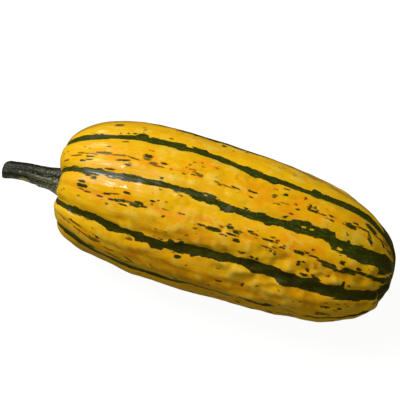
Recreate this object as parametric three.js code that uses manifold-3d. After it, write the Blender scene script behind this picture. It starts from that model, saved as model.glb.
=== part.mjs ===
// A delicata squash lying on its side: the ribbed oblong fruit, and the cut stem seated in its end.
// Millimetres, +Z up. +X runs from the stem end to the blossom end. The fruit rests on z = 0 on a
// small flat spot, and the origin is the middle of the underside of the whole object's box.
import * as THREE from "three";
import { mergeVertices } from "three/addons/utils/BufferGeometryUtils.js";
import Module from "manifold-3d";

// The fruit, measured from its widest station, where its long axis is at the local origin.
const FRUIT_LENGTH = 193; // from pole to pole, before the stem end dips in
const FRUIT_DIAMETER = 85; // over the rib crowns at the widest station
const WIDEST_STATION = 0.391; // share of the length, counted from the stem pole
const RIB_COUNT = 10;
const FURROW_DEPTH = 1.7; // along the middle of the fruit

// Each end's outline is a superellipse: bulge says how far the full width is kept, corner how square
// its shoulder is, and taper how much it narrows evenly. The end face leans: leanUp moves its top and
// leanBack its +Y side along X, in millimetres.
const STEM_END = { bulge: 5.1, corner: 3.2, taper: 0.125, furrow: 3.4, leanUp: -3.9, leanBack: -6.2 };
const BLOSSOM_END = { bulge: 5.5, corner: 2.65, taper: 0.22, furrow: 2.2, leanUp: -1.7, leanBack: -0.6 };

const BEND_DOWN = 3.2; // how far each pole hangs below the axis of the widest station
const BASIN_DEPTH = 7; // the dip in the stem end
const BASIN_RADIUS = 21.6;
const STEM_POLE = new THREE.Vector2(-4.9, -3.1); // the dip's centre, off the axis in Y and Z
const FURROW_START = 0.45; // share of the radius where the furrows reach their full depth
const POLE_FURROW = 0.6; // how much the furrows dent the end faces, as a share of their depth
const POLE_FURROW_RADIUS = 10; // inside it those dents fade out

const RESTING_CUT = 0.5; // depth of the flat spot worn on the lowest rib
const RINGS = 34;
const SPOKES = 8 * RIB_COUNT;

// The stem, a ribbed tube along a curve from inside the basin to the cut tip.
const STEM_ROOT = new THREE.Vector3(-66, -5.3, -6.2);
const STEM_ROOT_PULL = new THREE.Vector3(-82, -4.9, -5.2);
const STEM_TIP_PULL = new THREE.Vector3(-96, -5.1, -5.4);
const STEM_TIP = new THREE.Vector3(-109, -6.8, -8.9);
const STEM_TIP_RADIUS = 4.5;
const STEM_FLARE = 7.2; // how much wider the root is than the tip
const STEM_FLARE_LENGTH = 10.5; // over this length the flare falls to a third
const STEM_RIDGES = 5;
const STEM_RIDGE_HEIGHT = 0.45;
const STEM_TIP_BEVEL = 0.5;
const STEM_RINGS = 14;
const STEM_SPOKES = 8 * STEM_RIDGES;
const SEAT_GAP = 0.3; // between the stem's foot and the fruit

const RIND = { color: 0xe3a21c, roughness: 0.42, metalness: 0 };
const STEM_SKIN = { color: 0x45453b, roughness: 0.8, metalness: 0 };

const wasm = await Module();
wasm.setup();

// A closed geometry as a manifold-3d solid.
function solidOf(geometry) {
  const bare = geometry.clone();
  bare.deleteAttribute("normal");
  bare.deleteAttribute("uv");
  const merged = mergeVertices(bare, 1e-4);
  const mesh = new wasm.Mesh({
    numProp: 3,
    vertProperties: new Float32Array(merged.attributes.position.array),
    triVerts: new Uint32Array(merged.index.array),
  });
  return new wasm.Manifold(mesh);
}

// A manifold-3d solid as a geometry.
function geometryOf(solid) {
  const mesh = solid.getMesh();
  const geometry = new THREE.BufferGeometry();
  geometry.setAttribute("position", new THREE.BufferAttribute(mesh.vertProperties, 3));
  geometry.setIndex(new THREE.BufferAttribute(mesh.triVerts, 1));
  geometry.computeVertexNormals();
  return geometry;
}

// A body turned from a profile of (radius, along) points, each of whose points is then moved to
// place(along, radius, turn), a position in the part's own axes.
function turnedBody(profile, spokes, place) {
  const geometry = new THREE.LatheGeometry(profile, spokes);
  const position = geometry.attributes.position;
  for (let i = 0; i < position.count; i++) {
    const radius = Math.hypot(position.getX(i), position.getZ(i));
    const turn = Math.atan2(position.getX(i), position.getZ(i));
    const point = place(position.getY(i), radius, turn);
    position.setXYZ(i, point.x, point.y, point.z);
  }
  return geometry;
}

function fruitEnd(along) {
  return along < 0 ? STEM_END : BLOSSOM_END;
}

// Distance from the widest station to the pole on that side.
function reachOf(along) {
  return FRUIT_LENGTH * (along < 0 ? WIDEST_STATION : 1 - WIDEST_STATION);
}

// The fruit's outline over its rib crowns. The rings crowd towards the poles.
function fruitProfile() {
  const points = [];
  for (let ring = 0; ring <= RINGS; ring++) {
    const share = ring / RINGS;
    const sweep = Math.PI * share - Math.sin(2 * Math.PI * share) / 4;
    const side = -Math.cos(sweep);
    const end = fruitEnd(side);
    const outward = Math.abs(side);
    const taper = 1 - end.taper * outward ** 2;
    const outline = Math.max(0, 1 - outward ** end.bulge) ** (1 / end.corner);
    points.push(new THREE.Vector2((FRUIT_DIAMETER / 2) * taper * outline, side * reachOf(side)));
  }
  points[0].x = 0;
  points[RINGS].x = 0;
  return points;
}

// A point of the fruit's skin. turn is counted about +X from straight down, where a rib crown lies.
function fruitPoint(along, radius, turn) {
  const end = fruitEnd(along);
  const outward = Math.abs(along) / reachOf(along);
  const side = Math.sign(along);
  const wide = radius / (FRUIT_DIAMETER / 2);
  const groove = ((1 - Math.cos(RIB_COUNT * turn)) / 2) ** 2;
  const furrow = groove * THREE.MathUtils.lerp(FURROW_DEPTH, end.furrow, outward ** 4);

  const ribbed = radius - furrow * Math.min(1, wide / FURROW_START);
  let x = along;
  let y = ribbed * Math.sin(turn);
  let z = -ribbed * Math.cos(turn);

  x -= side * furrow * POLE_FURROW * (1 - wide) * Math.min(1, radius / POLE_FURROW_RADIUS);
  x += (outward ** 3 * (end.leanUp * z + end.leanBack * y)) / (FRUIT_DIAMETER / 2);
  if (along < 0) {
    x += BASIN_DEPTH * Math.exp(-((radius / BASIN_RADIUS) ** 2));
    y += STEM_POLE.x * (1 - wide ** 2);
    z += STEM_POLE.y * (1 - wide ** 2);
  }
  z -= BEND_DOWN * outward ** 2;
  return new THREE.Vector3(x, y, z);
}

const stemLine = new THREE.CubicBezierCurve3(STEM_ROOT, STEM_ROOT_PULL, STEM_TIP_PULL, STEM_TIP);

// The stem's outline: flared at the root, with a small bevel round the cut tip.
function stemProfile() {
  const length = stemLine.getLength();
  const points = [new THREE.Vector2(0, 0)];
  for (let ring = 0; ring <= STEM_RINGS; ring++) {
    const along = ((length - STEM_TIP_BEVEL) * ring) / STEM_RINGS;
    const flare = STEM_FLARE * Math.exp(-along / STEM_FLARE_LENGTH);
    points.push(new THREE.Vector2(STEM_TIP_RADIUS + flare, along));
  }
  points.push(new THREE.Vector2(STEM_TIP_RADIUS - STEM_TIP_BEVEL, length));
  points.push(new THREE.Vector2(0, length));
  return points;
}

function stemPoint(along, radius, turn) {
  const share = THREE.MathUtils.clamp(along / stemLine.getLength(), 0, 1);
  const centre = stemLine.getPointAt(share);
  const ahead = stemLine.getTangentAt(share);
  const sideways = new THREE.Vector3(0, 0, 1).cross(ahead).normalize();
  const upward = ahead.clone().cross(sideways);
  const ridge = STEM_RIDGE_HEIGHT * Math.cos(STEM_RIDGES * turn) * (radius / STEM_TIP_RADIUS);
  return centre
    .addScaledVector(sideways, (radius + ridge) * Math.cos(turn))
    .addScaledVector(upward, (radius + ridge) * Math.sin(turn));
}

// The same body with its skin moved out along its own normals.
function swollen(geometry, distance) {
  const grown = geometryOf(solidOf(geometry));
  const position = grown.attributes.position;
  const normal = grown.attributes.normal;
  for (let i = 0; i < position.count; i++) {
    const point = new THREE.Vector3().fromBufferAttribute(position, i);
    point.addScaledVector(new THREE.Vector3().fromBufferAttribute(normal, i), distance);
    position.setXYZ(i, point.x, point.y, point.z);
  }
  return grown;
}

const rawFruit = turnedBody(fruitProfile(), SPOKES, fruitPoint);
const rawStem = turnedBody(stemProfile(), STEM_SPOKES, stemPoint);

// The flat spot: everything below the resting plane is cut off the fruit.
rawFruit.computeBoundingBox();
const restingPlane = rawFruit.boundingBox.min.z + RESTING_CUT;
const below = new THREE.BoxGeometry(2 * FRUIT_LENGTH, 2 * FRUIT_DIAMETER, FRUIT_DIAMETER);
below.translate(0, 0, restingPlane - FRUIT_DIAMETER / 2);
const fruitSolid = solidOf(rawFruit).subtract(solidOf(below));
const stemSolid = solidOf(rawStem).subtract(solidOf(swollen(rawFruit, SEAT_GAP)));

const fruit = new THREE.Mesh(geometryOf(fruitSolid), new THREE.MeshStandardMaterial(RIND));
fruit.name = "fruit";
const stem = new THREE.Mesh(geometryOf(stemSolid), new THREE.MeshStandardMaterial(STEM_SKIN));
stem.name = "stem";

const squash = new THREE.Group();
squash.add(fruit, stem);

// The middle of the box's underside becomes the origin of the part.
const box = new THREE.Box3().setFromObject(squash);
const middle = box.getCenter(new THREE.Vector3());
squash.position.set(-middle.x, -middle.y, -box.min.z);

const part = new THREE.Group();
part.add(squash);
export default part;
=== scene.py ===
"""A delicata squash lying on its side: the skin of the fruit and the cut stem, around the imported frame.

Shapes are worked out in millimetres in the fruit's own axes, where the long axis at the widest
station is the origin, and are moved into the frame at the end. A place on the skin is given by its
share, the part of the way along the skin from the stem pole to the blossom pole, and by its rib
number. Rib 0 is the lowest, the numbers grow towards +Y and on over the top, and furrow k is at
k + 0.5.
"""

import math

import bpy
import numpy as np
from mathutils import Matrix, Vector


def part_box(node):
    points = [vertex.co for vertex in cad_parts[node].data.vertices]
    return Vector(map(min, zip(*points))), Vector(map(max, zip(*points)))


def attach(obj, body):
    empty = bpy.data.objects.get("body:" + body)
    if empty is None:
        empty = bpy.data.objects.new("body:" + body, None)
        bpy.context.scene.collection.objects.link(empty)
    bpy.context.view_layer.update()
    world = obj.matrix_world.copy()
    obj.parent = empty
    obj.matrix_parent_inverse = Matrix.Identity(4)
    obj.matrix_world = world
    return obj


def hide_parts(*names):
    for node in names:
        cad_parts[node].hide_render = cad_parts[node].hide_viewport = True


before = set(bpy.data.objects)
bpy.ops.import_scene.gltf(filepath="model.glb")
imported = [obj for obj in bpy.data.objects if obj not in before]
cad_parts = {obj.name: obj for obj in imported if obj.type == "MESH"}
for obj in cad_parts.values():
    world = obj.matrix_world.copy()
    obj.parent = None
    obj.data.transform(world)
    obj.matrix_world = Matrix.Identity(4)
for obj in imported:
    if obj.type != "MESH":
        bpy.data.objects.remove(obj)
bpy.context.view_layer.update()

MM = 0.001

# The fruit and the stem, as in the CAD part.
FRUIT_LENGTH = 193
FRUIT_RADIUS = 42.5
WIDEST_STATION = 0.391
RIB_COUNT = 10
FURROW_DEPTH = 1.7
STEM_END = dict(bulge=5.1, corner=3.2, taper=0.125, furrow=3.4, lean_up=-3.9, lean_back=-6.2)
BLOSSOM_END = dict(bulge=5.5, corner=2.65, taper=0.22, furrow=2.2, lean_up=-1.7, lean_back=-0.6)
BEND_DOWN = 3.2
BASIN_DEPTH = 7
BASIN_RADIUS = 21.6
STEM_POLE_Y = -4.9
STEM_POLE_Z = -3.1
FURROW_START = 0.45
POLE_FURROW = 0.6
POLE_FURROW_RADIUS = 10
CAD_RINGS = 34
CAD_SPOKES = 80

STEM_LINE = ((-66, -5.3, -6.2), (-82, -4.9, -5.2), (-96, -5.1, -5.4), (-109, -6.8, -8.9))
STEM_TIP_RADIUS = 4.5
STEM_FLARE = 7.2
STEM_FLARE_LENGTH = 10.5

# The stem's details, with lengths in mm.
STEM_RINGS = 120
STEM_SPOKES = 160
STEM_SAMPLES = 2001  # points to measure its length with
STEM_SEED = 11
TIP_ROUNDING = 3  # the length over which the tip's +Y side rounds off
TIP_ROUND_OFF = 0.8
TIP_SLANT = 0.28  # mm back along the stem for each mm towards SLANT_TURN
SLANT_TURN = math.radians(100)
SLANT_LENGTH = 9
# Rings of the cut face: (share of the tip's size, mm forward, how far it is bare cut).
CUT_RINGS = ((0.97, 0.12, 0.3), (0.9, 0.16, 1), (0.7, 0.1, 1), (0.4, -0.1, 1), (0.2, -0.2, 1))
CUT_DIP = 0.25
# Ridges along the stem: (number round it, height, phase).
STEM_RIDGES = ((7, 0.42, 0), (11, 0.16, 1), (17, 0.1, 0))
RIDGE_START = 0.035
RIDGE_TWIST = 0.1  # radians from the root to the tip
RIDGE_FADE = 5  # the length over which they get lower at the tip
RIDGE_AT_TIP = 0.35
GRAIN_HEIGHT = 0.13
KNOB_HEIGHT = 0.05
# How far the stem stands off the CAD part's line, and how much wider it is: (mm from the root, mm).
STEM_RISE = ((0, 0.6), (12, 0.65), (15, 0.5), (17, 0.3), (19, 0.18), (22, 0.33), (25, 0.41), (28, 0.47),
             (31, 0.58), (33, 0.5), (35, 0.42), (38, 0.5), (44, 0.5))
STEM_RISE_WAY = (0, 0.85, 0.53)  # towards +Y and up
STEM_WIDENING = ((0, -0.6), (12, -0.4), (15, -0.3), (17, -0.15), (20, 0.03), (22, -0.08), (24, 0.08),
                 (28, 0.07), (31, -0.03), (35, -0.07), (37, -0.15), (39, 0), (41, 0.2), (44, 0.3))
# Pale scars on the stem: (mm from the root, degrees round it, half length and half width in mm).
STEM_SCARS = ((28.9, -3, 4.6, 1.2), (31.2, 52, 0.9, 0.8), (43, -12, 1.4, 1), (9, 62, 0.8, 0.6),
              (6.5, 30, 0.9, 0.8), (10, 33, 0.7, 0.5), (13, 60, 1, 0.6))
# Dark bands along it, painted shade along its upper and lower edges, and a narrow dark line at 30 degrees:
# (degrees round it, half width in degrees).
STEM_SHADE_BANDS = ((148, 21), (-38, 10), (30, 4))

RINGS = 258
SPOKES = 360
FRUIT_SAMPLES = 4001
FRUIT_SEED = 7
FURROW_SHARPNESS = 3.2  # above the CAD part's 2, for narrower furrows
LEAST_RADIUS = 4  # ribs count as no narrower than they are at this radius
POLE_RIB_WIDTH = 4

# How far each furrow wanders round the fruit, in degrees, at these shares.
SWAY_STATIONS = (0, 0.1, 0.15, 0.2, 0.25, 0.3, 0.45, 0.6, 0.75, 0.85, 0.92, 1)
SWAY = {
    0: (3, 2, 1, 0, -1, -2, 0, 2, 3, 1, 0, 2),
    1: (-2, -1, 0, 1, 1, 2, 3, 1, -2, -3, -3, -1),
    2: (1, 2, 3, 2, 1, 1, -2, -1, 1, 3, 4, 5),
    3: (0, -2, -3, -3, -3, -3, 0, 0, 0, -3, -4, -5),
    4: (9, 8.5, 6, 5.5, 4, 0.5, -2, 1, -6, -17, -22, -22),
    5: (4, 3, 3, 3.5, 3, 2, -1, 1, -3, -3, -4, -5),
    6: (3, 1, 1, 4, 5, 6, 5, 0, 4, 7, 9, 11),
    7: (0, -4, -6, -5, 4, 9, 8, 8, 10, 10, 9, 9),
    8: (4, 5, 6, 5, 4, 3, 4, 7, 5, 3, 2, 4),
    9: (2, 1, 0, 1, 2, 3, 5, 3, 0, 0, 1, 3),
}

# The parts of their full depth that some furrows have at these shares.
DEPTH_STATIONS = (0, 0.12, 0.2, 0.35, 0.5, 0.62, 1)
FURROW_DEPTHS = {
    3: (1, 0.7, 0.5, 0.4, 0.4, 0.6, 1),
    4: (0.4, 0.4, 0.7, 1, 1, 1, 1),
    5: (1, 0.7, 0.6, 0.6, 0.65, 1, 1),
    7: (1, 0.6, 0.55, 0.7, 1, 1, 0.1),
}

# Layers of relief: (stretch along the piece, wavelength in mm, number of waves).
LONG_LUMPS = (0.45, 18, 26)
LUMP_PATCHES = (0.45, 34, 12)
LUMPS = (0.7, 8, 40)
SMALL_LUMPS = (1, 4.5, 40)
STEM_GRAIN = (0.05, 1.9, 40)
STEM_KNOBS = (0.3, 1.3, 40)
STEM_GRAIN_RADIUS = 6

# How high the skin's lumps stand, in mm.
EVEN_HEIGHT = 0.1  # of the long lumps everywhere
LONG_HEIGHT = 0.16  # of more of them where the skin is lumpy
LUMP_HEIGHT = 0.19
SMALL_HEIGHT = 0.05
PATCHINESS = 0.45  # how much they come in patches
# How lumpy the skin is: (rib number, factor).
LUMPINESS = ((0, 0.9), (3, 0.35), (4, 0.35), (4.4, 0.5), (5, 0.8), (5.5, 0.95), (6, 1.3), (6.6, 1.7),
             (7.1, 1.7), (7.6, 0.6), (9, 0.9), (10, 0.9))
# It is smoother towards the stem: (share, factor).
LUMP_GROWTH = ((0, 0.3), (0.2, 0.35), (0.3, 0.6), (0.42, 1.15), (1, 1.25))

# A faint crease runs along each rib.
CREASE_DEPTH = 0.36
CREASE_WIDTH = 0.075  # half of it, in rib numbers
CREASE_START = 0.072  # the share from a pole where it starts
CREASE_FADE = 0.12  # the share over which it comes in
# Where it runs: (share, rib numbers from the crown).
PLAIN_CREASE = ((0, 0), (1, 0))
CREASES = {
    4: ((0, -0.25), (1, -0.25)),
    5: ((0, 0.03), (0.3, 0.04), (0.35, 0.1), (0.6, 0.1), (0.7, 0.05), (0.77, 0.05), (0.82, 0.1)),
    6: ((0, -0.05), (0.3, -0.07), (0.6, -0.08), (0.9, -0.06)),
    7: ((0, -0.1), (0.3, -0.1), (0.5, -0.03), (0.9, -0.05)),
}

# Each stripe's edges: (share, mm from its furrow). The near edge is towards lower rib numbers, and
# where the two meet the stripe is broken.
PLAIN_EDGE = ((0, 1.4), (0.12, 2), (0.3, 2.2), (0.5, 2), (0.7, 2.5), (0.8, 3), (0.88, 4.5), (0.9, 6))
NEAR_EDGES = {
    3: ((0, 1.4), (0.15, 1.6), (0.25, -3), (0.3, -6), (0.37, -7.5), (0.385, -9.6), (0.45, -9.2), (0.47, -7),
      (0.55, -7), (0.57, -9.5), (0.58, -12), (0.6, -12), (0.63, 9.5), (0.7, 11.5), (0.88, 8)),
    4: ((0, 3), (0.13, 3.4), (0.16, 2.8), (0.2, 2), (0.24, 1.4), (0.28, 2), (0.287, 3.3), (0.305, 3.3),
      (0.31, 2), (0.36, 2.5), (0.395, 3.1), (0.398, 1.7), (0.42, 2), (0.43, 2.8), (0.442, 3.1), (0.45, 1.7),
      (0.48, 2.3), (0.53, 1.7), (0.555, 2), (0.565, 2.4), (0.585, 1.8), (0.62, 2), (0.64, 1.5), (0.66, 1.1),
      (0.694, 0.7), (0.697, 3.6), (0.713, 3.6), (0.717, 2.8), (0.76, 3.5), (0.8, 4), (0.835, 4.6),
      (0.85, 4.2), (0.88, 4.6), (0.9, 5)),
    5: ((0, 1.6), (0.13, 1.9), (0.18, 1.6), (0.23, 2.4), (0.25, 2.1), (0.28, 1.6), (0.36, 2), (0.4, 2.1),
      (0.41, 1.6), (0.45, 1.9), (0.47, 2.3), (0.502, 2.7), (0.505, 1.3), (0.54, 1.2), (0.6, 2.1),
      (0.605, 3.4), (0.62, 3.4), (0.625, 2.3), (0.64, 2.1), (0.675, 3.1), (0.68, 4.5), (0.7, 4.8),
      (0.712, 5.6), (0.72, 4.5), (0.727, 4), (0.735, 4.7), (0.745, 4.3), (0.775, 4.9), (0.78, 2.4),
      (0.79, 2.1), (0.8, 2.8), (0.82, 2.4), (0.83, 3.2), (0.85, 4), (0.88, 5.1), (0.89, 5.6), (0.9, 6.4),
      (0.905, 8)),
    6: ((0, 1), (0.12, -0.4), (0.14, 0.3), (0.16, 0.7), (0.18, 1.8), (0.19, 2.8), (0.197, 3.6), (0.21, 2.7),
      (0.25, 3.7), (0.29, 2.9), (0.32, 2.1), (0.38, 1.9), (0.42, 1.2), (0.43, 1.6), (0.436, 3.5),
      (0.446, 3.5), (0.45, 2.7), (0.455, 3.5), (0.466, 3.5), (0.47, 2.6), (0.55, 2.5), (0.6, 2.8),
      (0.64, 3.4), (0.68, 3.9), (0.72, 3.5), (0.74, 3.9), (0.755, 4.6), (0.77, 4.5), (0.785, 3.8),
      (0.8, 4.1), (0.813, 4.4), (0.819, 5.8), (0.825, 5.4), (0.832, 3.6), (0.85, 2.9), (0.92, 2.7)),
    7: ((0, 1), (0.13, 1.2), (0.16, 2.4), (0.19, 4), (0.22, 6), (0.245, 6.5), (0.26, 4.4), (0.3, 2.8),
      (0.36, 2.6), (0.41, 2.6), (0.45, 1.6), (0.52, 1.3), (0.6, 1.2), (0.74, 1.3), (0.8, 1.4), (0.84, 0.3),
      (0.86, -0.3)),
}
FAR_EDGES = {
    3: ((0, 1.4), (0.15, 4), (0.25, 8.4), (0.27, 10.4), (0.3, 11), (0.34, 11.8), (0.37, 12.4), (0.39, 12.4),
      (0.455, 12), (0.47, 10.9), (0.5, 11.6), (0.55, 11.6), (0.57, 10.6), (0.6, 8), (0.63, -9.5), (0.7, -9),
      (0.88, -3)),
    4: ((0, 3), (0.13, 3.6), (0.17, 3.4), (0.2, 3.2), (0.22, 2.3), (0.24, 1.7), (0.28, 2.3), (0.3, 3),
      (0.36, 2.7), (0.38, 3.1), (0.387, 4.4), (0.395, 4.4), (0.41, 3.3), (0.43, 3.1), (0.46, 2.8),
      (0.5, 2.8), (0.53, 3.1), (0.55, 3.9), (0.57, 4.7), (0.577, 4), (0.585, 3.3), (0.6, 3.1), (0.605, 4.4),
      (0.615, 4.4), (0.62, 3.1), (0.64, 3.1), (0.68, 3.7), (0.72, 3.3), (0.74, 2.6), (0.78, 3), (0.8, 3.9),
      (0.815, 3.6), (0.835, 2.4), (0.88, 2.2), (0.92, 2)),
    5: ((0, 1.4), (0.14, 1.6), (0.18, 1.9), (0.21, 2.3), (0.25, 1.3), (0.265, 2.1), (0.3, 2), (0.34, 1.3),
      (0.4, 1.1), (0.44, 1.2), (0.48, 2.4), (0.5, 1.9), (0.515, 1.9), (0.525, 2.7), (0.54, 2.7), (0.55, 1.9),
      (0.57, 2.1), (0.62, 1.5), (0.625, 2.9), (0.637, 2.9), (0.64, 1.7), (0.68, 1.7), (0.7, 2.3),
      (0.72, 1.9), (0.75, 1.3), (0.77, 2.3), (0.78, 4.3), (0.79, 4.9), (0.82, 5.7), (0.86, 5.6), (0.88, 4.3),
      (0.9, 3.5)),
    6: ((0, 1), (0.12, 4.3), (0.14, 4), (0.18, 3), (0.21, 1.7), (0.25, 1), (0.27, 1.4), (0.29, 2.7),
      (0.32, 2), (0.355, 1.1), (0.36, 2.7), (0.38, 2.9), (0.39, 2.5), (0.398, 4.5), (0.425, 4.5),
      (0.427, 2.7), (0.45, 3), (0.49, 2.9), (0.5, 2.2), (0.51, 2.3), (0.55, 2.2), (0.59, 1.4), (0.61, 2),
      (0.63, 3.7), (0.64, 3.5), (0.65, 2.5), (0.68, 2.7), (0.685, 4), (0.7, 4.5), (0.715, 4), (0.725, 3.8),
      (0.74, 3.5), (0.8, 4.3), (0.84, 5.3), (0.88, 5.6), (0.9, 6.7)),
    7: ((0, 1), (0.12, 1.8), (0.2, 3.8), (0.26, 3.6), (0.3, 2.6), (0.4, 2.4), (0.45, 1.8), (0.52, 1.2),
      (0.6, 1.2), (0.7, 1.3), (0.8, 0.9), (0.82, 1.2), (0.84, 2.2), (0.86, 3), (0.89, 4)),
}

# Where the dark cap at the blossom end starts: (rib number, share).
CAP_EDGE = (
    (0, 0.905), (0.5, 0.885), (1, 0.91), (1.5, 0.88), (2, 0.9), (2.5, 0.885), (3, 0.91), (3.5, 0.87),
    (4, 0.885), (4.3, 0.885), (4.42, 0.9), (4.55, 0.95), (4.8, 0.955), (5, 0.947), (5.1, 0.935),
    (5.15, 0.91), (5.22, 0.903), (5.3, 0.885), (5.5, 0.87), (5.63, 0.89), (5.66, 0.903), (5.88, 0.903),
    (5.96, 0.92), (6.3, 0.92), (6.42, 0.92), (6.6, 0.93), (6.75, 0.935), (7.2, 0.93), (7.45, 0.955),
    (7.6, 0.94), (8, 0.93), (8.5, 0.885), (9, 0.9), (9.5, 0.88), (10, 0.905),
)

# Flecks: (share, rib number, length in mm, width in mm, and for a slanting one the mm that it moves
# towards higher rib numbers for each mm towards the blossom end).
GREEN_FLECKS = (
    (0.296, 4.39, 4.2, 1.3), (0.262, 4.385, 1.2, 0.9), (0.278, 4.385, 2.4, 0.9), (0.246, 4.395, 1.2, 0.9),
    (0.473, 4.02, 2.4, 2.4), (0.206, 5.155, 5, 0.9), (0.191, 5.27, 3.4, 1.1), (0.208, 5.235, 4.4, 0.8),
    (0.283, 5.172, 6.4, 1.1, -0.08), (0.297, 5.255, 3.4, 1.1), (0.332, 4.97, 4.3, 2.1),
    (0.373, 5.065, 3, 1.1), (0.379, 5.365, 2.2, 1), (0.262, 5.39, 5.6, 0.9), (0.443, 5.145, 2.6, 0.8),
    (0.539, 5.09, 4.4, 0.9), (0.577, 5.035, 4.8, 1.2), (0.646, 4.855, 2.2, 1.5), (0.683, 5.12, 1.7, 1.1),
    (0.663, 5.34, 2.6, 1.1, -0.2), (0.7045, 4.985, 1.4, 3.8), (0.716, 5.045, 5.6, 1.3),
    (0.7225, 5.02, 1.6, 1.8), (0.735, 5.055, 4.8, 0.8), (0.757, 5.025, 3.4, 1), (0.759, 5.13, 2.8, 1.1),
    (0.804, 5.065, 6, 2), (0.812, 4.955, 3.4, 0.9), (0.834, 4.99, 8, 0.8, -0.05),
    (0.852, 4.845, 7.6, 2.5, 0.2), (0.853, 5.045, 2.6, 1, 0.5), (0.8585, 5.155, 3.8, 1.8, 0.4),
    (0.802, 5.27, 1.3, 1.1), (0.895, 4.995, 2.6, 1, 0.3), (0.495, 5.415, 6.5, 1.2), (0.231, 5.63, 3, 1.6),
    (0.204, 5.75, 4.2, 1.3), (0.208, 5.84, 6.4, 1.8), (0.271, 5.88, 4.2, 1.1, -0.1), (0.285, 5.965, 4, 0.9),
    (0.298, 5.955, 4, 1.1), (0.312, 5.935, 4.4, 1.2), (0.349, 5.905, 4.2, 1.9), (0.342, 5.955, 6, 1.7),
    (0.361, 5.94, 3.4, 1), (0.315, 6, 4.8, 0.9), (0.317, 5.775, 3.4, 1.1), (0.378, 5.81, 2.8, 0.8),
    (0.389, 5.775, 1.6, 0.8), (0.257, 5.96, 3.2, 0.8), (0.499, 5.975, 5, 0.9), (0.524, 5.985, 7.4, 1.8),
    (0.553, 6.035, 1.5, 0.8), (0.558, 5.865, 3.6, 1.6), (0.572, 5.915, 3.2, 1.6), (0.581, 5.89, 2.8, 0.8),
    (0.565, 5.985, 5.4, 1), (0.578, 6.07, 3.4, 1.6), (0.602, 5.825, 2.2, 1.4), (0.611, 5.85, 4, 0.9),
    (0.598, 6.29, 2.8, 1.1, -0.3), (0.645, 5.88, 6, 1.1), (0.68, 5.9, 1.4, 1), (0.677, 5.935, 3, 0.9),
    (0.715, 5.93, 5.6, 1.6), (0.731, 5.895, 2.4, 0.7), (0.748, 5.925, 6, 0.8), (0.77, 5.955, 7, 1.2),
    (0.785, 5.985, 8, 2.2), (0.81, 6.02, 6, 1.4), (0.832, 5.97, 8, 2.2), (0.86, 5.935, 7, 1.2),
    (0.851, 5.87, 2.8, 1.3), (0.812, 5.85, 2.6, 1.6), (0.885, 5.95, 7, 1.3), (0.912, 5.985, 10, 1.6),
    (0.72, 6.13, 2, 2.4), (0.729, 6.075, 2, 0.8), (0.738, 6.31, 3.6, 1.2), (0.621, 6.3, 2, 1.5),
    (0.632, 6.3, 1.4, 1.6), (0.764, 6.33, 3.4, 2), (0.826, 6.27, 1.4, 2.6), (0.205, 6.82, 8.5, 1, 0.1),
    (0.19, 6.79, 2, 1.2), (0.267, 6.86, 2.4, 1.6), (0.31, 7.18, 9, 1, 0.33), (0.349, 7.15, 4.6, 1.2, 0.5),
    (0.465, 7.26, 1.6, 1.8), (0.461, 6.685, 3.6, 1.8), (0.613, 6.945, 1.6, 2.2), (0.8, 6.95, 5, 1.1),
    (0.832, 6.97, 2.6, 1.3), (0.79, 7.17, 4, 1.2), (0.8, 7.22, 4, 1.3), (0.743, 6.22, 2.4, 1.2),
    (0.758, 6.27, 2.2, 0.9),
)
OLIVE_FLECKS = (
    (0.233, 4.14, 4.4, 2.4), (0.17, 5.135, 6, 1), (0.181, 5.06, 4, 0.9), (0.205, 5.075, 6.4, 0.9),
    (0.234, 5.035, 7.8, 1.8), (0.269, 5.057, 7.4, 0.9), (0.303, 5.085, 6.4, 1, 0.2), (0.332, 5.04, 4, 1.3),
    (0.349, 5.11, 4.4, 1.7), (0.456, 5.11, 4, 1.9), (0.505, 5.14, 2.4, 1.3), (0.523, 5.115, 6, 0.7),
    (0.625, 4.965, 2.4, 2.4), (0.637, 5.13, 3.6, 0.8), (0.65, 5.075, 4.4, 0.6), (0.717, 4.96, 2.2, 1.8),
    (0.91, 4.7, 6, 1.8), (0.93, 4.85, 6, 1.4), (0.33, 5.93, 7, 1.1), (0.661, 5.98, 3, 0.8),
    (0.654, 6.02, 3, 0.7), (0.664, 6.08, 1.6, 1.8), (0.345, 6.62, 3.4, 1.3), (0.232, 6.56, 3, 1),
    (0.257, 6.95, 8, 1.6), (0.252, 7.22, 4, 2.6),
)
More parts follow.
